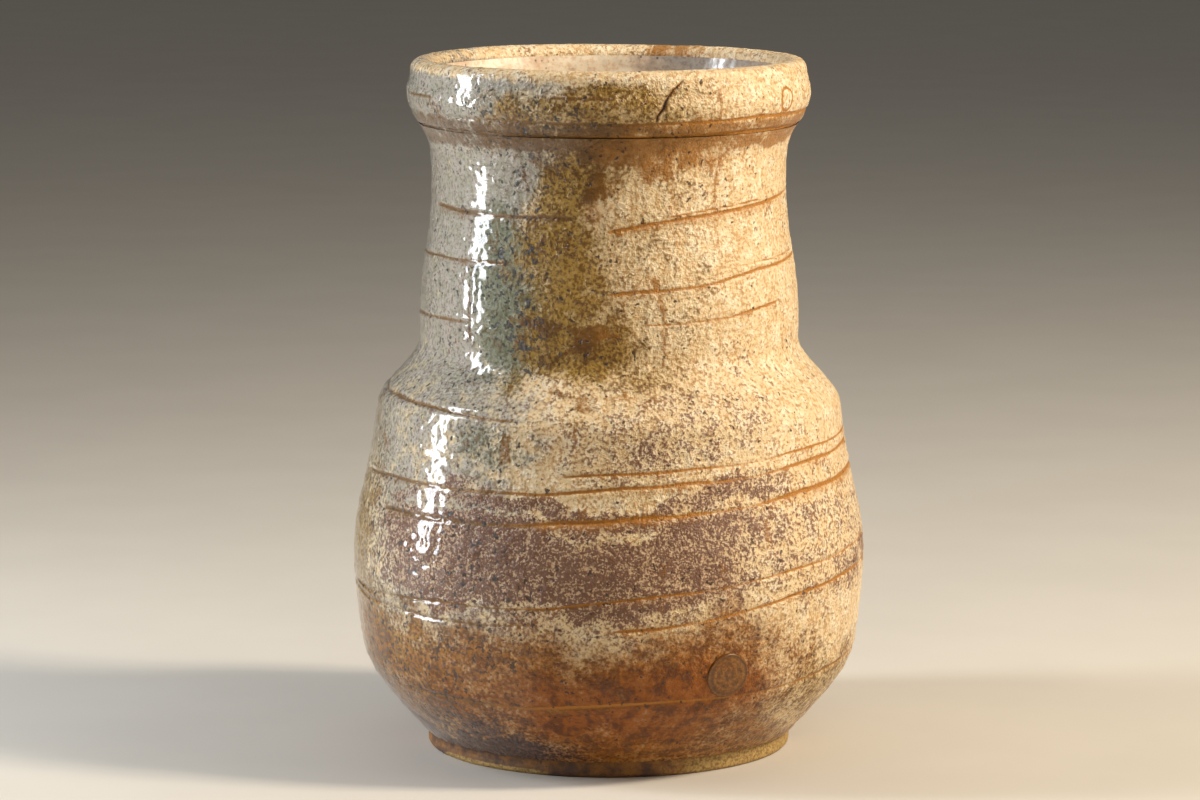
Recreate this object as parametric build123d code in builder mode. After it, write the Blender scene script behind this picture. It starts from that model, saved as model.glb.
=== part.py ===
"""Hand-thrown stoneware vase, about 210 mm tall.

A round belly on a low foot ring carries a straight neck and a thick rim band. The clay is
one wall 5 to 8 mm thick, made in pieces that are luted together: foot ring, body, neck and
rim band. A glaze coat lies over the outside and the lip, a liner glaze lies over the inside,
and a round seal pad is pressed on to the lower belly.

Frame: +Z up along the axis of the pot, origin at the centre of the circle that it stands on.
The front, where the seal is, faces -Y. All sizes are in millimetres.
"""

from build123d import *
import os

# Driving dimensions
height = 210.0
glaze = 0.8  # thickness of the outer coat and of the liner
foot_height = 5.0
foot_radius = 55.4
foot_width = 9.0
foot_edge = 1.3  # rounding where the foot meets the table
floor_thickness = 8.0
belly_radius = 77.7
belly_height = 51.0  # where the belly is widest
shoulder_height = 109.5  # where the belly turns in to the neck
neck_joint = 126.0  # the body ends here and the neck begins
neck_base_radius = 57.5
neck_top_radius = 54.0
neck_top = 181.0
rim_joint = 190.5  # the neck ends here and the rim band begins
rim_radius = 61.0
rim_widest = height - 12.0
lip_outer_radius = 59.9
lip_crest_radius = 56.4
lip_inner_radius = 52.9
lip_drop = 3.0  # from the crest down to where the lip is full width
liner_edge = height - 3.4  # the liner glaze stops here and the outer coat begins
throat_radius = 47.9  # the narrowest place inside the neck
seal_radius = 7.0
seal_height = 33.5
seal_angle = 27.5  # round from the front, towards +X
seal_rise = 0.9  # how far the seal stands out of the glaze

floor_top = foot_height + floor_thickness
front = Plane.XZ


def chain(start, tangent, *points):
    """Arcs through the points, each one tangent to the one before."""
    arcs = []
    for point in points:
        arcs.append(TangentArc(start, point, tangent=tangent))
        start = arcs[-1] @ 1
        tangent = arcs[-1] % 1
    return arcs


# The surface of the finished pot in half section: up the outside, over the lip and down the inside
body_outside = chain(
    (foot_radius + 0.8, foot_height),
    (0.97, 1),
    (70.0, 21.0),
    (75.8, 35.0),
    (belly_radius, belly_height + 3),
    (75.6, 77.0),
    (70.6, shoulder_height - 5),
    (67.9, shoulder_height + 1),
    (60.6, neck_joint - 7.2),
    (58.6, neck_joint - 4.4),
    (neck_base_radius, neck_joint),
)
neck_outside = chain(
    body_outside[-1] @ 1,
    body_outside[-1] % 1,
    (55.75, 152.0),
    (neck_top_radius, neck_top),
    (57.5, rim_joint),
)
rim_outside = chain(
    neck_outside[-1] @ 1,
    neck_outside[-1] % 1,
    (rim_radius, rim_widest),
    (60.9, rim_widest + 4),
    (lip_outer_radius, height - lip_drop),
)
rim_outside += chain(
    rim_outside[-1] @ 1,
    (-0.1, 1),
    (lip_crest_radius, height),
    (lip_inner_radius, liner_edge),
)
rim_inside = chain(rim_outside[-1] @ 1, rim_outside[-1] % 1, (50.3, rim_joint))
neck_inside = chain(
    rim_inside[-1] @ 1,
    rim_inside[-1] % 1,
    (throat_radius, 168.0),
    (51.0, neck_joint),
)
body_inside = chain(
    neck_inside[-1] @ 1,
    neck_inside[-1] % 1,
    (53.0, neck_joint - 7.6),
    (56.5, neck_joint - 13),
    (62.6, shoulder_height - 3),
    (65.6, shoulder_height - 9),
    (69.2, 78.0),
    (71.1, belly_height + 3),
    (67.9, 33.0),
    (58.5, 19.0),
    (43.5, floor_top),
)


def inset(curves, depth):
    """The same arcs at a depth below the surface, or above it where the depth is negative."""
    spots = [curves[0] @ 0] + [curve @ 1 for curve in curves]
    bends = [a % 1 + b % 0 for a, b in zip(curves, curves[1:])]
    bends = [curves[0] % 0] + bends + [curves[-1] % 1]
    ends = [spot + bend.normalized().rotate(Axis.Z, 90) * depth for spot, bend in zip(spots, bends)]
    middles = [curve @ 0.5 + (curve % 0.5).rotate(Axis.Z, 90) * depth for curve in curves]
    return [ThreePointArc(*points) for points in zip(ends, middles, ends[1:])]


def coat(curves, rise=0):
    """A face from the clay under the given arcs up to the surface, or to a rise above it."""
    clay = inset(curves, glaze)
    top = inset(curves, -rise)
    ends = [Line(clay[0] @ 0, top[0] @ 0), Line(clay[-1] @ 1, top[-1] @ 1)]
    return make_face(clay + top + ends)


# Foot ring: a low ring of clay that the pot stands on, with its edges rubbed round
with BuildPart() as foot_ring:
    with BuildSketch(front) as ring_section:
        with Locations((foot_radius - foot_width, 0)):
            Rectangle(foot_width, foot_height, align=(Align.MIN, Align.MIN))
        fillet(ring_section.vertices().group_by(Axis.Y)[0], radius=foot_edge)
    revolve(axis=Axis.Z)


# Body: the thrown belly and shoulder with the floor, which lies on the foot ring
belly_clay = inset(body_outside, glaze)
hollow_clay = inset(body_inside, glaze)
body_foot = belly_clay[0] @ 0
underside = Polyline(
    hollow_clay[-1] @ 1,
    (0, (hollow_clay[-1] @ 1).Y),
    (0, foot_height),
    (body_foot.X, foot_height),
    body_foot,
)
body_top = Line(belly_clay[-1] @ 1, hollow_clay[0] @ 0)
with BuildPart() as body:
    with BuildSketch(front):
        add(make_face(belly_clay + hollow_clay + underside.edges() + [body_top]))
    revolve(axis=Axis.Z)


# Neck: a collar thrown separately and luted on to the shoulder
collar_clay = inset(neck_outside, glaze)
throat_clay = inset(neck_inside, glaze)
collar_bottom = Line(collar_clay[0] @ 0, throat_clay[-1] @ 1)
collar_top = Line(collar_clay[-1] @ 1, throat_clay[0] @ 0)
with BuildPart() as neck:
    with BuildSketch(front):
        add(make_face(collar_clay + throat_clay + [collar_bottom, collar_top]))
    revolve(axis=Axis.Z)


# Rim band: a thick ring of clay that makes the flared lip
band_clay = inset(rim_outside + rim_inside, glaze)
band_bottom = Line(band_clay[-1] @ 1, band_clay[0] @ 0)
with BuildPart() as rim_band:
    with BuildSketch(front):
        add(make_face(band_clay + [band_bottom]))
    revolve(axis=Axis.Z)


# Seal: a round pad that follows the belly and stands a little out of the glaze
seal_plane = Plane(
    origin=(0, 0, seal_height),
    z_dir=Vector(0, -1, 0).rotate(Axis.Z, seal_angle),
)
with BuildPart() as seal_blank:
    with BuildSketch(seal_plane):
        Circle(seal_radius)
    extrude(amount=2 * belly_radius)
with BuildPart() as seal_pad:
    with BuildSketch(front):
        add(coat(body_outside, seal_rise))
    revolve(axis=Axis.Z)
    add(seal_blank.part, mode=Mode.INTERSECT)


# Outer glaze: from the foot up over the lip, with a hole where the seal stands
with BuildPart() as outer_glaze:
    with BuildSketch(front):
        add(coat(body_outside + neck_outside + rim_outside))
    revolve(axis=Axis.Z)
    add(seal_blank.part, mode=Mode.SUBTRACT)


# Liner glaze: from the lip down over the whole inside, floor included
liner_surface = rim_inside + neck_inside + body_inside
liner_back = inset(liner_surface, glaze)
liner_start = Line(liner_back[0] @ 0, liner_surface[0] @ 0)
floor_edge = liner_back[-1] @ 1
floor_disc = Polyline(floor_edge, (0, floor_edge.Y), (0, floor_top), liner_surface[-1] @ 1)
with BuildPart() as liner_glaze:
    with BuildSketch(front):
        add(make_face(liner_surface + liner_back + [liner_start] + floor_disc.edges()))
    revolve(axis=Axis.Z)


pieces = {
    "foot_ring": foot_ring,
    "body": body,
    "neck": neck,
    "rim_band": rim_band,
    "seal_pad": seal_pad,
    "outer_glaze": outer_glaze,
    "liner_glaze": liner_glaze,
}
os.makedirs("parts", exist_ok=True)
for name, piece in pieces.items():
    piece.part.label = name
    export_step(piece.part, f"parts/{name}.step")
    box = piece.part.bounding_box()
    print(f"{name:12} {piece.part.volume / 1000:8.1f} cm3  z {box.min.Z:6.1f} to {box.max.Z:6.1f}")
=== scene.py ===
"""A hand-thrown, salt-fired stoneware vase: belly, neck, rim band, foot and seal, glazed inside and out."""

import math

import bmesh
import bpy
import numpy as np
from mathutils import Matrix, Vector


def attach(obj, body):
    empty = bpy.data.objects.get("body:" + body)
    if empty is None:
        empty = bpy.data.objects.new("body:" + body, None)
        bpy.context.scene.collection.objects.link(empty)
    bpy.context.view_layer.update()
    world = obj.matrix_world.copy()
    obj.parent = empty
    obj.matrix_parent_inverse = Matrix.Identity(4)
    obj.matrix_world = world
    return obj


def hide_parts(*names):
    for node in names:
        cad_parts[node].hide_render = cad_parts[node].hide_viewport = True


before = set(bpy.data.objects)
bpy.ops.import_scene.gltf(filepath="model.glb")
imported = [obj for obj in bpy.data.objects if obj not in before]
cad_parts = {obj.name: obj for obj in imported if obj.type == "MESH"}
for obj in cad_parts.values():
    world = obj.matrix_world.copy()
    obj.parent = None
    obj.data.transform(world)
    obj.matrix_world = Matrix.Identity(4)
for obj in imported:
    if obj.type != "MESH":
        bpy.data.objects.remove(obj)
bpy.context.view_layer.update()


# Foot ring. The pot stands on a low turned ring of bare iron-brown clay, rubbed round at its
# bottom edge, with pale salt crust grown on it where the draught of the kiln reached.
# Outlines are radius and height in millimetres, and meshes are in metres.
MM = 0.001


def arcs(start, tangent, *points, spacing=0.3):
    """Points along a chain of arcs through the given points, and the direction at its end.

    Each arc is tangent to the one before, and points stand about spacing apart, in millimetres.
    """
    here = Vector(start)
    heading = Vector(tangent).normalized()
    outline = [here]
    for point in points:
        chord = Vector(point) - here
        half_turn = heading.angle_signed(chord)
        length = chord.length
        if abs(half_turn) > 1e-4:
            length *= half_turn / math.sin(half_turn)
        parts = max(2, round(length / spacing))
        for part in range(1, parts + 1):
            share = part / parts
            reach = chord.length * share
            if abs(half_turn) > 1e-4:
                reach = chord.length * math.sin(half_turn * share) / math.sin(half_turn)
            turn = Matrix.Rotation(-half_turn * share, 2)
            outline.append(here + turn @ heading * reach)
        heading = Matrix.Rotation(-2 * half_turn, 2) @ heading
        here = Vector(point)
    return outline, heading


def lathe(name, outline, columns, faces_axis=False):
    """A piece made by turning an outline round the axis: one slice first, and then its copies.

    Its faces look outwards, or towards the axis for the inside of the pot.
    """
    slices = 24
    bm = bmesh.new()
    verts = [bm.verts.new((0, -x * MM, z * MM)) for x, z in outline]
    edges = [bm.edges.new(pair) for pair in zip(verts, verts[1:])]
    turn = {"axis": (0, 0, 1), "cent": (0, 0, 0)}
    one = 2 * math.pi / slices
    bmesh.ops.spin(bm, geom=verts + edges, angle=one, steps=columns // slices, **turn)
    whole = bm.verts[:] + bm.edges[:] + bm.faces[:]
    bmesh.ops.spin(bm, geom=whole, angle=2 * math.pi - one, steps=slices - 1, use_duplicate=True, **turn)
    bmesh.ops.remove_doubles(bm, verts=bm.verts, dist=1e-6)
    bmesh.ops.recalc_face_normals(bm, faces=bm.faces)
    outward = sum(face.normal.xy.dot(face.calc_center_median().xy) for face in bm.faces)
    if (outward < 0) != faces_axis:
        bmesh.ops.reverse_faces(bm, faces=bm.faces)
    for face in bm.faces:
        face.smooth = True
    mesh = bpy.data.meshes.new(name)
    bm.to_mesh(mesh)
    bm.free()
    piece = bpy.data.objects.new(name, mesh)
    bpy.context.collection.objects.link(piece)
    return piece


def vertex_values(mesh, what):
    """The places or the normals of a mesh's points, one row each."""
    values = np.empty(len(mesh.vertices) * 3)
    mesh.vertices.foreach_get(what, values)
    return values.reshape(-1, 3)


def turn_of(points):
    """Degrees round the pot: 0 at the front, growing towards +X."""
    return np.degrees(np.arctan2(points[:, 0], -points[:, 1]))


def paint(mesh, mask, values):
    """Writes one number per point, for the materials to read."""
    mesh.attributes.new(mask, "FLOAT", "POINT").data.foreach_set("value", values)


def around(angle, centre):
    """Degrees from a centre line, the short way round."""
    return (angle - centre + 180) % 360 - 180


def step(value, low, high):
    """0 below low, 1 above high, smooth between. low may be the larger."""
    t = np.clip((value - low) / (high - low), 0, 1)
    return t * t * (3 - 2 * t)


def window(angle, left, right, soft):
    """1 between two angles, fading out over a soft edge."""
    middle = (left + right) / 2
    away = np.abs(around(angle, middle))
    return step(away, (right - left) / 2 + soft / 2, (right - left) / 2 - soft / 2)


def strongest(*masks):
    """The largest of several masks at each point."""
    return np.maximum.reduce(masks)


def field(points, size, octaves=1, seed=1):
    """Smooth noise, about -1 to 1: waves of the given length in millimetres, run in all directions."""
    random = np.random.default_rng(seed)
    total = np.zeros(len(points))
    for octave in range(octaves):
        waves = random.normal(size=(3, 16))
        waves *= random.uniform(0.7, 1.3, 16) / np.linalg.norm(waves, axis=0)
        waves *= 2 * math.pi * 2 ** octave / (size * MM)
        phases = random.uniform(0, 2 * math.pi, 16)
        total += np.sin(points @ waves + phases).sum(axis=1) / 4 / 1.8 ** octave
    return total


class Value:
    """A number that changes over a surface, held as a node's output socket."""

    def __init__(self, tree, socket):
        self.tree = tree
        self.socket = socket

    def math(self, operation, *others):
        node = self.tree.nodes.new("ShaderNodeMath")
        node.operation = operation
        for socket, value in zip(node.inputs, others):
            if isinstance(value, Value):
                self.tree.links.new(value.socket, socket)
            else:
                socket.default_value = value
        return Value(self.tree, node.outputs[0])

    def __add__(self, other):
        return self.math("ADD", self, other)

    def __radd__(self, other):
        return self.math("ADD", other, self)

    def __sub__(self, other):
        return self.math("SUBTRACT", self, other)

    def __rsub__(self, other):
        return self.math("SUBTRACT", other, self)

    def __mul__(self, other):
        return self.math("MULTIPLY", self, other)

    def __rmul__(self, other):
        return self.math("MULTIPLY", other, self)

    def at_least(self, other):
        return self.math("MAXIMUM", self, other)


class Finish:
    """A material under construction, built round one Principled shader."""

    def __init__(self, name):
        self.material = bpy.data.materials.new(name)
        self.material.use_nodes = True
        self.tree = self.material.node_tree
        self.tree.nodes.clear()
        self.shader = self.tree.nodes.new("ShaderNodeBsdfPrincipled")
        end = self.tree.nodes.new("ShaderNodeOutputMaterial")
        self.tree.links.new(self.shader.outputs[0], end.inputs[0])
        place = self.tree.nodes.new("ShaderNodeTexCoord")
        self.place = Value(self.tree, place.outputs["Object"])

    def node(self, kind, inputs, output=0, **settings):
        """Adds a node, sets it up, feeds its sockets with numbers or values, and gives its output."""
        node = self.tree.nodes.new(kind)
        for name, setting in settings.items():
            setattr(node, name, setting)
        for name, value in inputs.items():
            if isinstance(value, Value):
                self.tree.links.new(value.socket, node.inputs[name])
            else:
                node.inputs[name].default_value = value
        return Value(self.tree, node.outputs[output])

    def mask(self, name):
        """What paint wrote on the piece under this name."""
        return self.node("ShaderNodeAttribute", {}, output="Fac", attribute_name=name)

    def cloud(self, size, detail=2.0, roughness=0.5, place=None):
        """Noise from 0 to 1 with features of the given size in millimetres."""
        inputs = {
            "Vector": place or self.place,
            "Scale": 1 / (size * MM),
            "Detail": detail,
            "Roughness": roughness,
        }
        return self.node("ShaderNodeTexNoise", inputs)

    def stretched(self, rise):
        """Object space scaled upwards: noise there makes lines round the pot, or down it below 1."""
        return self.node("ShaderNodeMapping", {"Vector": self.place, "Scale": (1, 1, rise)})

    def cells(self, size):
        """Distance from the middle of round cells of the given size in millimetres."""
        inputs = {"Vector": self.place, "Scale": 1 / (size * MM)}
        return self.node("ShaderNodeTexVoronoi", inputs, output="Distance")

    def ramp(self, value, low, high, start=0.0, end=1.0):
        """Runs smoothly from start to end while the value goes from low to high."""
        inputs = {"Value": value, "From Min": low, "From Max": high, "To Min": start, "To Max": end}
        return self.node("ShaderNodeMapRange", inputs, interpolation_type="SMOOTHSTEP")

    def blend(self, below, above, share):
        """One colour over another, with the upper one's share from 0 to 1."""
        inputs = {0: share, 6: self.colour(below), 7: self.colour(above)}
        return self.node("ShaderNodeMix", inputs, output=2, data_type="RGBA")

    def colour(self, value):
        return value if isinstance(value, Value) else (*value, 1.0)

    def set(self, **values):
        """Feeds the shader's own sockets."""
        for name, value in values.items():
            socket = self.shader.inputs[name.replace("_", " ")]
            if isinstance(value, Value):
                self.tree.links.new(value.socket, socket)
            else:
                socket.default_value = value


def fired_clay(name, body, flash, crusted):
    """Bare gritty clay of one colour with a flash of another, crusted where the mask says so."""
    finish = Finish(name)
    wide = finish.cloud(18, 4.0, 0.6)
    middle = finish.cloud(4.0, 4.0, 0.65)
    grit = finish.cloud(0.8, 3.0, 0.65)
    clay = finish.blend(body, flash, finish.ramp(wide * 0.5 + middle * 0.5, 0.40, 0.62))
    clay = finish.blend(clay, tuple(0.35 * part for part in body), finish.ramp(grit, 0.56, 0.70, 0.0, 0.8))
    if crusted:
        crust = finish.blend((0.48, 0.31, 0.10), (0.22, 0.125, 0.035), finish.ramp(grit, 0.42, 0.62))
        share = finish.ramp(finish.mask("crust") + 0.6 * middle - 0.3, 0.30, 0.62)
        clay = finish.blend(clay, crust, share)
    bumps = finish.node(
        "ShaderNodeBump", {"Strength": 0.7, "Distance": 0.0003, "Height": grit + middle * 0.8}
    )
    finish.set(Base_Color=clay, Roughness=0.82 - 0.22 * middle, Normal=bumps)
    return finish.material


foot_outside, heading = arcs((55.4, 5.0), (0, -1), (55.4, 1.3), (54.1, 0.0), spacing=0.35)
foot_inside, heading = arcs((54.1, 0.0), (-1, 0), (47.7, 0.0), (46.4, 1.3), (46.4, 5.0), spacing=0.5)
foot = lathe("turned_foot", foot_outside + foot_inside[1:], 480)
foot_points = vertex_values(foot.data, "co")
foot_angle = turn_of(foot_points)
foot_level = foot_points[:, 2] / MM
tool_line = -0.16 * np.exp(-(((foot_level - 3.1) / 0.5) ** 2)) + 0.10 * field(foot_points, 7, 3)
tool_line = np.minimum(tool_line, 0.05) * step(foot_level, 0, 1.4)
foot_points += vertex_values(foot.data, "normal") * (tool_line * MM)[:, None]
foot.data.vertices.foreach_set("co", foot_points.ravel())
crust = strongest(
    0.9 * step(foot_level, 2.6, 0.9) * window(foot_angle, -64, -20, 20),
    0.7 * window(foot_angle, 18, 92, 50),
    0.5 * window(foot_angle, 110, 250, 60),
)
paint(foot.data, "crust", crust)
foot.data.materials.append(fired_clay("foot_clay", (0.10, 0.052, 0.034), (0.34, 0.145, 0.025), True))
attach(foot, "root")
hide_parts("foot_ring")


# Base and belly. The wall springs from the foot at half a right angle, swells to its widest a
# quarter of the way up and carries most of the cut grooves. It was thrown on a wheel, so it is an
# outline turned round the axis, then marked by the potter's hands and tools.
def layer(height, low, high, soft):
    """1 between two heights, fading out over a soft edge."""
    return step(height, low - soft / 2, low + soft / 2) * step(height, high + soft / 2, high - soft / 2)


def blob(angle, height, centre, level, wide, tall):
    """A round soft patch, its width in degrees and its height in millimetres."""
    return np.exp(-((around(angle, centre) / wide) ** 2) - ((height - level) / tall) ** 2)


# Cut grooves: width and depth in millimetres, how much iron sits in it, and the way that it runs,
# as degrees round from the front and height. Most rise to the right, as the pot turned.
GROOVES = [
    (1.4, 0.34, 0.9, (-74, 166.8), (-40, 166.4), (-6, 166.2)),
    (1.1, 0.34, 1.0, (-3, 162.2), (12, 164.5), (46, 167.6), (78, 171.0), (120, 174.0)),
    (0.8, 0.16, 0.6, (14, 166.0), (62, 170.6)),
    (1.0, 0.24, 0.8, (-125, 150.2), (-82, 152.0), (-27, 152.6)),
    (1.1, 0.30, 0.9, (-3, 144.2), (30, 146.8), (52, 149.8), (84, 151.6), (128, 153.0)),
    (0.9, 0.18, 0.6, (40, 151.4), (86, 153.3)),
    (0.8, 0.14, 0.5, (60, 163.0), (110, 166.5)),
    (1.1, 0.28, 0.8, (-120, 133.0), (-80, 134.0), (-42, 134.6)),
    (1.0, 0.26, 0.8, (7, 135.8), (39, 136.8), (66, 139.7)),
    (0.8, 0.14, 0.5, (-84, 143.6), (-70, 143.2)),
    (1.3, 0.40, 0.6, (-100, 111.5), (-66, 110.3), (-42, 109.0), (-18, 108.0)),
    (1.0, 0.26, 0.7, (-14, 92.6), (10, 93.8), (48, 96.8), (78, 97.8), (150, 100.5)),
    (1.2, 0.34, 0.8, (-82, 87.0), (-16, 87.7), (27, 91.2), (54, 93.2), (82, 94.7), (165, 97.0)),
    (1.4, 0.42, 1.0, (-66, 78.2), (-24, 78.8), (0, 80.0), (28, 83.1), (60, 85.5), (80, 86.6), (200, 90.0)),
    (
        1.1, 0.38, 0.6,
        (-150, 50.0), (-78, 52.4), (-28, 54.1), (-13, 54.8), (33, 61.5), (78, 66.2), (190, 70.0),
    ),
    (1.1, 0.36, 0.5, (-110, 52.5), (-76, 50.6), (-44, 48.6), (-28, 48.7), (-12, 50.3)),
    (1.2, 0.34, 0.8, (-2, 48.0), (10, 48.8), (33, 53.2), (55, 56.4), (78, 59.4), (170, 64.0)),
    (1.2, 0.28, 0.7, (-60, 24.5), (-20, 23.6), (10, 26.3), (41, 27.2), (70, 30.6), (110, 33.0)),
    (0.8, 0.20, 0.6, (9, 38.8), (23, 40.6)),
    (1.2, 0.34, 0.9, (150, 168.5), (215, 162.0), (262, 160.5)),
    (1.0, 0.28, 0.8, (140, 146.5), (205, 143.5)),
    (1.3, 0.36, 0.9, (120, 112.0), (190, 108.5), (228, 108.0)),
    (1.2, 0.34, 0.8, (215, 82.5), (262, 79.0)),
    (1.1, 0.30, 0.6, (160, 58.0), (235, 53.0)),
    (1.1, 0.26, 0.6, (150, 30.0), (235, 26.5)),
]


def cut(angle, height, wander):
    """How deep the grooves cut here in millimetres, and how much iron lies along them."""
    depth = np.zeros_like(angle)
    iron = np.zeros_like(angle)
    for width, deep, rust, *way in GROOVES:
        turns = [a for a, _ in way]
        levels = [z for _, z in way]
        here = np.where(angle < turns[0], angle + 360, angle)
        inside = step(here, turns[0], turns[0] + 6) * step(here, turns[-1], turns[-1] - 9)
        off = height - np.interp(here, turns, levels) - 0.35 * wander
        inside = inside * np.clip(0.95 + 0.25 * wander, 0.5, 1.1)
        furrow = np.exp(-((off / (0.5 * width)) ** 2))
        burr = np.exp(-(((np.abs(off) - 1.05 * width) / (0.5 * width)) ** 2))
        depth += deep * inside * (furrow - 0.3 * burr)
        line = rust * inside * np.exp(-((off / (0.45 * width)) ** 2))
        halo = 0.36 * rust * inside * np.exp(-(((off + 0.7) / (2.0 * width)) ** 2))
        iron = strongest(iron, line, halo)
    return depth, iron


def colour_zones(angle, height, drift, patch):
    """Where the glaze turns grey, mauve, amber or brown, each 0 to 1."""
    a = angle + 6 * drift
    z = height + 3 * drift + 1.5 * patch
    grey = window(a, -135, -18, 36) * (0.62 + 0.08 * step(z, 70, 98) + 0.28 * step(z, 118, 132))
    pool = strongest(
        0.9 * window(a, -43, -18, 14) * layer(z, 121, 170, 14),
        0.5 * window(a, -37, -18, 12) * layer(z, 94, 108, 8),
        0.8 * window(a, 186, 214, 18) * layer(z, 124, 150, 12),
    )
    ochre_and_shade = strongest(
        # The dark band down the middle of the neck's front is partly the glaze's own colour and partly
        # painted shade.
        0.95 * window(a, -25, 4, 26) * layer(z, 118, 189, 16),
        0.34 * window(a, 0, 34, 30) * layer(z, 124, 190, 20),
        0.7 * window(a, -44, 22, 60) * layer(z, 186, 204, 8),
        0.75 * blob(a, z, -84, 66, 26, 40),
        0.6 * blob(a, z, 4, 118, 24, 8),
        0.62 * blob(a, z, 60, 25, 34, 16),
        0.95 * blob(a, z, -62, 38, 38, 13),
        0.5 * window(a, 130, 240, 60),
    )
    mauve = strongest(
        window(a, -60, 28, 46) * layer(z, 55, 79, 6),
        0.8 * window(a, -50, 40, 60) * layer(z, 80.5, 88.5, 5),
        0.36 * window(a, 20, 100, 40) * layer(z, 52, 86, 12),
        0.9 * blob(a, z, 78, 60, 18, 6),
        0.6 * window(a, 120, 215, 50) * layer(z, 56, 100, 18),
        0.4 * blob(a, z, 16, 104, 34, 12),
        0.35 * layer(z, 48, 60, 6) * window(a, -40, 40, 30),
    )
    brown = step(z, 62, 36) * (0.85 + 0.2 * window(a, -40, 50, 40))
    brown *= 1 - 0.75 * window(a, 38, 120, 40) * step(z, 8, 20)
    amber = strongest(
        1.15 * blob(a, z, 2, 25, 38, 17),
        1.2 * blob(a, z, 20, 28, 17, 10),
        0.7 * blob(a, z, -4, 13, 22, 8),
        0.7 * blob(a, z, 172, 26, 30, 12),
    )
    purple = strongest(
        layer(z, -9, 11, 6) * window(a, -84, -16, 26),
        0.6 * blob(a, z, -38, 14, 24, 7),
        0.7 * layer(z, -5, 8, 5) * window(a, 140, 250, 40),
    )
    crest = step(height, 208.2, 205.5)
    return {
        "grey": grey * (0.35 + 0.65 * crest),
        "pool": pool,
        "ochre_and_shade": ochre_and_shade * crest,
        "mauve": mauve,
        "brown": brown,
        "amber": amber,
        "purple": purple,
    }


# Drips of iron-rich glaze: angle, lowest and highest point, and strength.
DRIPS = [
    (14.5, 122, 151, 0.8), (2, 172, 192, 0.7), (9.5, 194, 204, 0.5), (21, 165, 192, 0.6),
    (31, 186, 204, 0.65), (38, 150, 190, 0.45), (52, 172, 190, 0.5), (-46, 128, 150, 0.5),
    (-29, 176, 192, 0.6), (-52, 178, 191, 0.5), (24, 158, 172, 0.45), (36, 64, 80, 0.35),
    (-16, 194, 204, 0.5), (112, 150, 190, 0.6), (160, 128, 188, 0.6), (243, 156, 190, 0.6),
]


def stains(angle, height, drift, patch):
    """Iron that ran or sat on the surface: the brown column under the rim, blotches and drips."""
    a = angle + 2.2 * drift
    z = height + 2.0 * patch
    run = strongest(
        0.8 * window(a, -9, 7, 8) * layer(z, 166, 192, 12) * (0.75 + 0.3 * patch),
        0.5 * window(a, 6, 34, 20) * layer(z, 184, 193, 6),
        0.4 * window(a, -24, 0, 14) * layer(z, 150, 192, 20),
    )
    for turn, low, high, strength in DRIPS:
        wide = around(a - 0.5 * drift, turn) / 1.15
        run = strongest(run, strength * np.exp(-(wide ** 2)) * layer(z, low, high, 5))
    joint = 1.1 * layer(height + 0.6 * patch, 186, 195, 3) * (0.8 + 0.2 * patch)
    joint *= 0.75 + 0.25 * window(a, -75, 120, 60)
    weep = 0.75 * window(a, -30, 45, 50) * layer(height + 2.5 * patch, 180, 195, 6)
    left_arm = np.exp(-(((height - 122 - 0.75 * (a + 17)) / 2.4) ** 2)) * window(a, -18, 0, 4)
    right_arm = np.exp(-(((height - 136 + 0.12 * (a + 24)) / 1.8) ** 2)) * window(a, -26, 2, 4)
    vee = 1.15 * strongest(left_arm, right_arm) * (0.85 + 0.3 * patch)
    spread = 0.45 * blob(a, z, -14, 129, 14, 9)
    bar = 0.8 * window(a, -25.4, -22.8, 1.2) * layer(z, 95, 106, 3)
    line = 0.6 * window(a, -20, 10, 12) * np.exp(-(((z - 114.4) / 1.3) ** 2))
    back = 0.7 * window(a, 150, 166, 8) * step(z, 140, 172)
    back_spot = 0.6 * blob(a, z, 235, 128, 10, 8)
    return np.clip(strongest(run, joint, weep, vee, spread, bar, line, back, back_spot), 0, 1)


def weather(piece, marks=None, calm=1.0):
    """Moves a turned piece's surface by the marks of making, and writes its colour masks."""
    mesh = piece.data
    points = vertex_values(mesh, "co")
    normals = vertex_values(mesh, "normal")
    angle = turn_of(points)
    height = points[:, 2] / MM
    drift = field(points, 60, 3, 3)
    patch = field(points, 22, 3, 7)
    hands = field(points * [1, 1, 0.6], 90, 1, 5)
    peel = field(points, 4.2, 2, 9)
    depth, iron = cut(angle, height, drift)
    rings = np.sin(2 * math.pi * (height / 6.5 + angle / 360) + 2.2 * drift)
    masks = colour_zones(angle, height, drift, patch)
    masks["stain"] = stains(angle, height, drift, patch)
    rough = 0.75 + 0.25 * step(height, 110, 60)
    move = calm * (0.16 * hands + 0.045 * rings) + 0.062 * rough * peel - depth
    lathed = np.sin(2 * math.pi * height / 1.9 + 5 * drift) * np.clip(0.5 + patch, 0, 1)
    move += 0.022 * calm * lathed * step(height, 120, 60)
    if marks:
        extra, extra_iron, gap = marks(angle, height, normals, drift)
        move += extra
        iron = np.maximum(iron, extra_iron)
        masks["gap"] = gap
    masks["iron"] = iron
    move = np.clip(move, -0.72, 0.30)
    points += normals * (move * MM)[:, None]
    mesh.vertices.foreach_set("co", points.ravel())
    for mask, values in masks.items():
        paint(mesh, mask, values)
    mesh.update()


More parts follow.
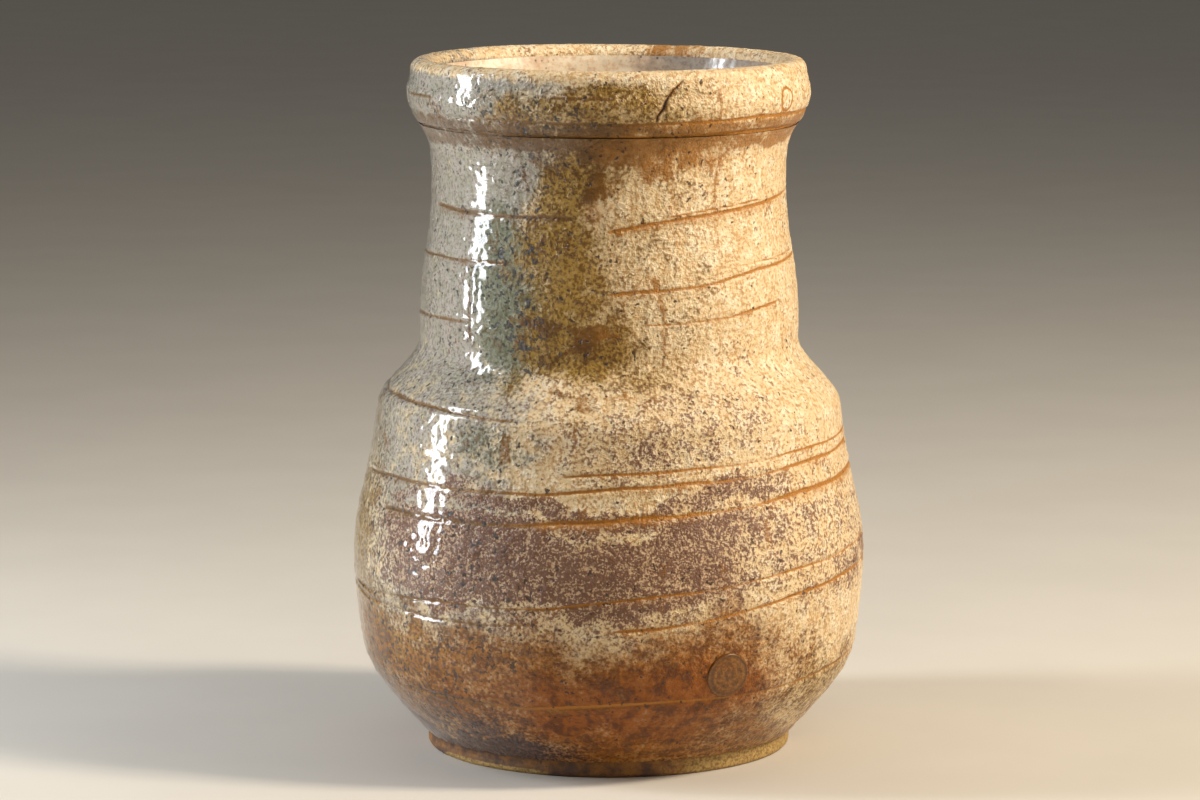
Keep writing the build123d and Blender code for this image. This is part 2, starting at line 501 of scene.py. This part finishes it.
def salt_glaze(name):
    """Peach where the flame reached, grey where the ash lay, brown below, with iron in every mark."""
    finish = Finish(name)
    grey, pool, ochre_and_shade, mauve = (finish.mask(m) for m in ("grey", "pool", "ochre_and_shade", "mauve"))
    brown, amber, purple = (finish.mask(m) for m in ("brown", "amber", "purple"))
    iron, stain, gap = (finish.mask(m) for m in ("iron", "stain", "gap"))
    wide = finish.cloud(16, 3.0, 0.6)
    middle = finish.cloud(4.5, 4.0, 0.65)
    grain = finish.cloud(1.05, 3.0, 0.6)
    fine = finish.cloud(0.6, 2.0, 0.6)
    spot = finish.cloud(1.7, 2.0, 0.5)
    turned = finish.cloud(7.0, 4.0, 0.6, place=finish.stretched(5.0))
    run = finish.cloud(3.0, 3.0, 0.6, place=finish.stretched(0.16))
    broken = (wide - 0.5) * 0.8 + (middle - 0.5) * 1.3 + (grain - 0.5) * 0.9

    def zone(mask, most=1.0):
        """A mask with its edge broken up."""
        return finish.ramp(mask + broken, 0.2, 0.8, 0.0, most)

    # The ground, from the flame side round to the ash side
    ground = finish.blend((0.81, 0.62, 0.37), (0.93, 0.79, 0.56), finish.ramp(middle, 0.44, 0.62))
    mottle = finish.ramp(grain + 0.3 * run, 0.62, 0.76, 0.0, 0.72)
    ground = finish.blend(ground, (0.53, 0.275, 0.085), mottle)
    grey_tone = finish.blend((0.36, 0.335, 0.26), (0.44, 0.39, 0.325), finish.ramp(middle, 0.42, 0.6))
    grey_tone = finish.blend(grey_tone, (0.20, 0.155, 0.10), finish.ramp(grain, 0.49, 0.62, 0.0, 0.7))
    ground = finish.blend(ground, grey_tone, zone(grey))
    celadon = finish.blend((0.195, 0.20, 0.12), (0.12, 0.11, 0.055), finish.ramp(grain, 0.50, 0.62))
    ground = finish.blend(ground, celadon, zone(pool))
    # Straw: dark yellow-brown glaze, which in the band down the neck's front also holds painted shade.
    straw = finish.blend((0.40, 0.225, 0.022), (0.165, 0.080, 0.008), finish.ramp(grain, 0.43, 0.60))
    ground = finish.blend(ground, straw, zone(ochre_and_shade, 0.92))

    # The lower belly, browner and wetter towards the foot
    streaks = finish.ramp(turned * 0.5 + grain * 0.5, 0.43, 0.57)
    earth = finish.blend((0.39, 0.148, 0.010), (0.15, 0.048, 0.003), streaks)
    ground = finish.blend(ground, earth, finish.ramp(brown + broken * 1.1, 0.02, 1.12, 0.0, 0.94))
    honey = finish.blend((0.31, 0.084, 0.001), (0.12, 0.029, 0.001), finish.ramp(middle, 0.42, 0.62))
    ground = finish.blend(ground, honey, finish.ramp(amber + broken * 0.8, 0.05, 1.15, 0.0, 0.94))

    # Flashing: purple-brown grains over a dusty pink ground
    ground = finish.blend(ground, (0.52, 0.33, 0.205), zone(mauve, 0.75))
    fleck = finish.ramp(grain * 0.5 + fine * 0.5 + middle * 0.3 + mauve * 0.105, 0.675, 0.74)
    fleck = fleck * finish.ramp(mauve + broken * 0.4, 0.02, 0.55, 0.0, 0.88)
    ground = finish.blend(ground, (0.150, 0.062, 0.038), fleck)
    plum = finish.blend((0.15, 0.075, 0.058), (0.045, 0.022, 0.020), finish.ramp(grain, 0.42, 0.56))
    ground = finish.blend(ground, plum, zone(purple, 0.92))

    # Iron: stains that ran, and rust held in the cuts
    # Iron runs darker on the grey side and in the band down the neck's front, so there it partly carries
    # painted shade.
    dark_side = finish.ramp(grey + ochre_and_shade * 0.8 + (middle - 0.5) * 0.9, 0.15, 0.85)
    tar = finish.blend((0.37, 0.15, 0.018), (0.135, 0.058, 0.012), dark_side)
    wept = finish.ramp(stain + broken + (run - 0.5) * 1.2, 0.2, 0.85, 0.0, 0.88)
    ground = finish.blend(ground, tar, wept)
    rust = finish.blend((0.44, 0.175, 0.018), (0.20, 0.098, 0.024), dark_side)
    ground = finish.blend(ground, rust, finish.ramp(iron + broken * 0.4, 0.16, 0.60, 0.0, 0.95))
    core = finish.ramp(iron + broken * 0.3, 0.55, 0.95, 0.0, 0.75) * (dark_side * 0.5 + 0.06)
    ground = finish.blend(ground, (0.070, 0.028, 0.008), core)

    # Specks bled through from the clay, blue-black under the ash and brown elsewhere
    crowd = grey * 0.8 + ochre_and_shade * 0.8 + pool * 0.6 + mauve * 0.5 + brown * 0.3 + (wide - 0.5) * 2.0
    speck = finish.ramp(spot + 0.075 * crowd, 0.69, 0.73)
    speck = speck.at_least(finish.ramp(fine + 0.06 * crowd, 0.70, 0.78, 0.0, 0.7))
    ink = finish.blend((0.060, 0.034, 0.022), (0.040, 0.040, 0.041), finish.ramp(grey - brown, 0.3, 0.6))
    ground = finish.blend(ground, ink, speck * 0.9)
    ground = finish.blend(ground, (0.012, 0.008, 0.006), gap)

    wet = finish.ramp(grey * 1.3 + pool + amber + ochre_and_shade * 0.4 + (middle - 0.5), 0.1, 0.8)
    dry = finish.ramp(mauve + purple - grey, 0.2, 0.9)
    relief = middle * 1.3 + grain * 0.6 + fine * 0.2 + turned * 0.4 - speck * 0.2
    bumps = finish.node("ShaderNodeBump", {"Strength": 0.9, "Distance": 0.0009, "Height": relief})
    finish.set(Base_Color=ground, Roughness=0.29 - wet * 0.20 + dry * 0.10 + gap * 0.4, Normal=bumps)
    coat = finish.ramp(grey * 1.3 + pool, 0.1, 0.8, 0.0, 0.75)
    finish.set(IOR=1.5, Specular_IOR_Level=0.34, Coat_Weight=coat, Coat_Roughness=0.06)
    return finish.material


glaze = salt_glaze("salt_glaze")


def glazed(piece):
    """Gives a stretch of the outer coat its finish, and its place in the frame."""
    piece.data.materials.append(glaze)
    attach(piece, "root")
    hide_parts("outer_glaze")


base_line, heading = arcs((56.2, 5), (0.97, 1), (70.0, 21.0), (75.8, 35.0), spacing=0.30)
base = lathe("base_glaze", base_line, 720)
weather(base)
glazed(base)

belly_line, heading = arcs(base_line[-1], heading, (77.7, 54.0), (75.6, 77.0), spacing=0.32)
belly = lathe("belly_glaze", belly_line, 720)
weather(belly)
glazed(belly)


# Shoulder and neck. The belly draws in, turns over at the shoulder and runs up a short cone to
# the root of a straight neck, which was thrown as a collar and luted on.
shoulder_line, heading = arcs(
    belly_line[-1], heading, (70.6, 104.5), (67.9, 110.5), (60.6, 118.8), (58.6, 121.6), (57.5, 126.0),
    spacing=0.40,
)
shoulder = lathe("shoulder_glaze", shoulder_line, 720)
weather(shoulder)
glazed(shoulder)

neck_line, heading = arcs(
    shoulder_line[-1], heading, (55.75, 152.0), (54.0, 181.0), (57.5, 190.5), spacing=0.48
)
neck = lathe("neck_glaze", neck_line, 720)
weather(neck)
glazed(neck)


# Rim band. A thick ring of clay luted round the top, with two tooled lines under it, a firing
# crack across the front, and a few plain stamps pressed in before glazing.
rim_line, heading = arcs(
    neck_line[-1], heading, (61.0, 198.0), (60.9, 202.0), (59.9, 207.0), spacing=0.26
)
lip_line, heading = arcs((59.9, 207.0), (-0.1, 1), (56.4, 210.0), (52.9, 206.6), spacing=0.26)

# The crack's way up the band, as degrees round from the front and height.
CRACK = [(14.0, 195.3), (14.4, 197.3), (15.8, 199.2), (16.6, 201.6), (18.6, 204.6), (21.4, 207.2)]


def rim_marks(angle, height, normals, drift):
    """Movement, iron and open crack on the rim band."""
    degree = math.radians(1) * 60  # millimetres round the band
    lower = height - 190.9 - 0.3 * drift
    upper = height - 195.2 - 0.3 * drift
    move = -0.34 * np.exp(-((lower / 0.7) ** 2)) - 0.30 * np.exp(-((upper / 0.6) ** 2))
    iron = 0.9 * np.exp(-((lower / 0.9) ** 2)) + 0.75 * np.exp(-((upper / 0.7) ** 2))
    iron *= 0.35 + 0.65 * window(angle, -30, 150, 50)
    side = normals[:, 2] < 0.55
    across = around(angle, -4.9) * degree
    ring = np.hypot(across, height - 199.8)
    pressed = np.exp(-(((ring - 3.6) / 0.5) ** 2))
    for left, right in ((4.6, 8.8), (10.4, 21.2), (21.6, 31.2)):
        middle = (left + right) / 2
        wide = abs(around(angle, middle)) * degree - (right - left) / 2 * degree
        tall = abs(height - 199.6) - 3.4
        edge = np.maximum(wide, tall)
        pressed = np.maximum(pressed, 0.7 * np.exp(-((edge / 0.45) ** 2)))
    for turn in range(60, 330, 27):
        spot = np.hypot(around(angle, turn) * degree, height - 199.8)
        pressed = np.maximum(pressed, 0.8 * np.exp(-(((spot - 3.4) / 0.5) ** 2)))
    pressed = pressed * side
    streak = 0.7 * window(angle, -17, 2, 8) * np.exp(-(((height - 202.3) / 0.7) ** 2))
    streak = streak + 0.6 * window(angle, -78, -58, 10) * np.exp(-(((height - 200.5) / 0.6) ** 2))
    turns, levels = zip(*CRACK)
    path = np.interp(height, levels, turns) + 0.5 * drift
    wide = 0.17 + 0.28 * np.exp(-(((height - 200.0) / 2.6) ** 2))
    away = around(angle, path) * degree
    along = step(height, 194.6, 195.6) * step(height, 208.4, 206.6) * side
    gap = np.exp(-((away / wide) ** 2)) * along
    move -= 0.20 * pressed + 0.6 * gap
    seep = 0.55 * np.exp(-((away / 1.3) ** 2)) * along
    iron = strongest(iron, 0.9 * pressed * (0.9 + 0.4 * drift), streak * side, seep)
    return move, np.clip(iron, 0, 1), np.clip(gap * 1.4, 0, 1)


rim = lathe("rim_glaze", rim_line + lip_line[1:], 900)
weather(rim, rim_marks)
glazed(rim)


# Liner. The potter poured a paler glaze in and out again: it covers the whole inside in one coat,
# over the throwing rings that the fingers left.
def liner_glaze():
    """Cream glaze with tan clouds and fine specks, and grey painted shade on the back right of the inner
    wall, where the shade mask says so.
    """
    finish = Finish("liner_glaze_wash")
    shade = finish.mask("shade")
    wide = finish.cloud(16, 4.0, 0.6)
    middle = finish.cloud(4.0, 4.0, 0.62)
    grain = finish.cloud(1.3, 3.0, 0.6)
    cream = finish.blend((0.94, 0.83, 0.66), (0.80, 0.60, 0.42), finish.ramp(grain, 0.45, 0.68))
    cream = finish.blend(cream, (0.66, 0.43, 0.29), finish.ramp(wide, 0.47, 0.68, 0.0, 0.7))
    # Grey painted shade for the back right of the inner wall, laid on where the shade mask says.
    grey_tone = finish.blend((0.42, 0.37, 0.32), (0.30, 0.25, 0.21), finish.ramp(grain, 0.42, 0.66))
    cream = finish.blend(cream, grey_tone, finish.ramp(shade + middle - 0.5, 0.2, 0.75))
    cream = finish.blend(cream, (0.36, 0.19, 0.08), finish.ramp(middle + 0.3 * wide, 0.78, 0.98, 0.0, 0.6))
    speck = finish.ramp(finish.cells(2.2) + 0.25 * grain, 0.34, 0.24) * finish.ramp(wide, 0.45, 0.6)
    cream = finish.blend(cream, (0.11, 0.08, 0.06), speck * 0.8)
    relief = grain * 0.5 + middle
    bumps = finish.node("ShaderNodeBump", {"Strength": 0.5, "Distance": 0.00015, "Height": relief})
    finish.set(Base_Color=cream, Roughness=0.14 + 0.14 * middle, Normal=bumps, IOR=1.5, Coat_Weight=0.3)
    return finish.material


def liner_marks(angle, height, normals, drift):
    """Throwing rings, which fade out on the floor of the pot."""
    fingers = 0.22 * np.sin(2 * math.pi * (height / 9.0 + angle / 360) + 1.5 * drift)
    fingers *= step(height, 10, 24)
    return fingers, np.zeros_like(angle), np.zeros_like(angle)


inside_line, heading = arcs(
    lip_line[-1], heading, (50.3, 190.5), (47.9, 168.0), (51.0, 126.0), (53.0, 118.4), (56.5, 113.0),
    (62.6, 106.5), (65.6, 100.5), (69.2, 78.0), (71.1, 54.0), (67.9, 33.0), (58.5, 19.0), (43.5, 13.0),
    spacing=1.05,
)
floor_line = [Vector((43.5 * (1 - k / 24), 13.0)) for k in range(1, 25)]
liner = lathe("liner", inside_line + floor_line, 360, faces_axis=True)
weather(liner, liner_marks, calm=0.5)
liner_angle = turn_of(vertex_values(liner.data, "co"))
# Painted shade: this mask marks the back right of the inner wall, which is painted grey.
paint(liner.data, "shade", 0.9 * window(liner_angle, 92, 168, 44))
liner.data.materials.append(liner_glaze())
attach(liner, "root")
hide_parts("liner_glaze")


# Seal. A small pad of clay was pressed on the wall with a round stamp before glazing. Its mark is
# plain rings with five petals between them, and amber glaze has pooled in the low places.
seal_angle = 27.5
seal_height = 33.5
seal_radius = 7.0
wall_radius = 75.5


def amber_seal():
    """Wet amber glaze, darker in the low places of the stamp."""
    finish = Finish("seal_amber")
    low = finish.mask("low")
    middle = finish.cloud(3.0, 3.0, 0.6)
    grain = finish.cloud(0.8, 2.0, 0.6)
    mix = finish.ramp(grain + 0.3 * middle, 0.50, 0.80)
    clay = finish.blend((0.165, 0.052, 0.004), (0.27, 0.115, 0.018), mix)
    clay = finish.blend(clay, (0.050, 0.024, 0.012), finish.ramp(low + middle - 0.5, 0.35, 1.1, 0.0, 0.55))
    bumps = finish.node("ShaderNodeBump", {"Strength": 0.4, "Distance": 0.00015, "Height": grain})
    finish.set(Base_Color=clay, Roughness=0.16 + 0.14 * middle, Normal=bumps, IOR=1.5)
    return finish.material


seal_bm = bmesh.new()
spoke_parts = 64
spoke = [seal_bm.verts.new((k / spoke_parts, 0, 0)) for k in range(spoke_parts + 1)]
spoke_edges = [seal_bm.edges.new(pair) for pair in zip(spoke, spoke[1:])]
bmesh.ops.spin(
    seal_bm, geom=spoke + spoke_edges, axis=(0, 0, 1), cent=(0, 0, 0), angle=2 * math.pi, steps=120,
    use_merge=True,
)
bmesh.ops.remove_doubles(seal_bm, verts=seal_bm.verts, dist=1e-5)
wall_z = [z for _, z in base_line + belly_line[1:]]
wall_x = [x for x, _ in base_line + belly_line[1:]]
seal_low = []
for vert in seal_bm.verts:
    out = vert.co.length
    across = vert.co.x * seal_radius
    up = vert.co.y * seal_radius
    spoke_turn = math.atan2(vert.co.y, vert.co.x)
    wave = 0.5 + 0.5 * math.cos(2 * math.pi * 3.0 * out)
    petals = 0.5 + 0.5 * math.cos(5 * spoke_turn + 1.1)
    inner = max(0.0, 1 - abs(out - 0.42) / 0.26)
    raised = max(wave * (0.6 if out < 0.8 else 1.0), petals * inner)
    edge = min(1.0, (1 - out) / 0.12)
    rise = -0.9 + (1.30 + 0.32 * raised) * math.sin(edge * math.pi / 2) ** 0.7
    level = seal_height + up
    radius = float(np.interp(level, wall_z, wall_x)) + rise
    turn = math.radians(seal_angle) + across / wall_radius
    vert.co = (radius * math.sin(turn) * MM, -radius * math.cos(turn) * MM, level * MM)
    seal_low.append(1 - raised if out < 0.93 else 0.9)
bmesh.ops.recalc_face_normals(seal_bm, faces=seal_bm.faces)
outward = sum(face.normal.dot(face.calc_center_median()) for face in seal_bm.faces)
if outward < 0:
    bmesh.ops.reverse_faces(seal_bm, faces=seal_bm.faces)
for face in seal_bm.faces:
    face.smooth = True
seal_mesh = bpy.data.meshes.new("pressed_seal")
seal_bm.to_mesh(seal_mesh)
seal_bm.free()
paint(seal_mesh, "low", seal_low)
seal = bpy.data.objects.new("pressed_seal", seal_mesh)
bpy.context.collection.objects.link(seal)
seal.data.materials.append(amber_seal())
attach(seal, "root")
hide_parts("seal_pad")


# Clay under the glaze. Body, neck and rim band are thrown from one grogged stoneware, and it shows
# bare on the underside of the pot, inside the foot ring.
wall_clay = fired_clay("wall_clay", (0.24, 0.155, 0.105), (0.33, 0.20, 0.11), False)
for name in ("body", "neck", "rim_band"):
    node = bpy.data.objects[name]
    if not node.data.materials:
        node.data.materials.append(wall_clay)
    for slot in node.material_slots:
        slot.material = wall_clay


# Studio. The pot stands on a pale floor under plain soft light: a tall cool strip on the left that
# draws the bright line down the glaze, and a broad warm bank with a small warm lamp on the right.
def plain_card(name, colour, roughness):
    """Matt card of one colour, with a faint change of tone."""
    finish = Finish(name)
    tone = finish.cloud(60, 3.0, 0.5)
    card = finish.blend(colour, tuple(0.97 * part for part in colour), finish.ramp(tone, 0.3, 0.7))
    finish.set(Base_Color=card, Roughness=roughness)
    return finish.material


floor_bm = bmesh.new()
bmesh.ops.create_grid(floor_bm, x_segments=1, y_segments=1, size=8.0)
floor_mesh = bpy.data.meshes.new("floor")
floor_bm.to_mesh(floor_mesh)
floor_bm.free()
floor = bpy.data.objects.new("floor", floor_mesh)
bpy.context.collection.objects.link(floor)
floor.data.materials.append(plain_card("floor_card", (0.64, 0.60, 0.54), 0.85))

world = bpy.data.worlds.new("studio")
bpy.context.scene.world = world
world.use_nodes = True
sky = world.node_tree.nodes["Background"]
sky.inputs["Color"].default_value = (1.0, 0.97, 0.92, 1.0)
sky.inputs["Strength"].default_value = 0.125


def area_light(name, place, target, size, watts, colour):
    """A flat soft lamp, turned towards a target."""
    lamp = bpy.data.lights.new(name, "AREA")
    lamp.shape = "RECTANGLE"
    lamp.size, lamp.size_y = size
    lamp.energy = watts
    lamp.color = colour
    light = bpy.data.objects.new(name, lamp)
    light.location = place
    light.rotation_euler = (Vector(target) - Vector(place)).to_track_quat("-Z", "Y").to_euler()
    bpy.context.collection.objects.link(light)


pot_middle = (0, 0, 0.11)
area_light("left_strip", (-0.62, -0.03, 0.35), (0, 0, 0.20), (0.11, 0.62), 4.9, (0.90, 0.95, 1.0))
area_light("right_bank", (1.15, -0.32, 0.75), pot_middle, (0.8, 0.8), 6.0, (1.0, 0.88, 0.72))
area_light("right_sun", (0.83, -0.20, 0.82), pot_middle, (0.16, 0.16), 12.0, (1.0, 0.88, 0.70))
area_light("overhead", (0.0, 0.1, 1.5), pot_middle, (1.4, 1.4), 2.6, (1.0, 0.97, 0.93))
bpy.context.scene.view_settings.view_transform = "Standard"


# Camera. A long lens stands 1.43 m in front of the pot, about 0.1 m above its lip, and looks 8.4
# degrees down at the front.
lens = bpy.data.cameras.new("camera")
lens.lens = 142.6
lens.sensor_width = 36.0
camera = bpy.data.objects.new("camera", lens)
camera.location = (-0.00265, -1.4348, 0.3172)
camera.rotation_euler = (math.radians(90 - 8.4), 0, 0)
bpy.context.collection.objects.link(camera)
bpy.context.scene.camera = camera
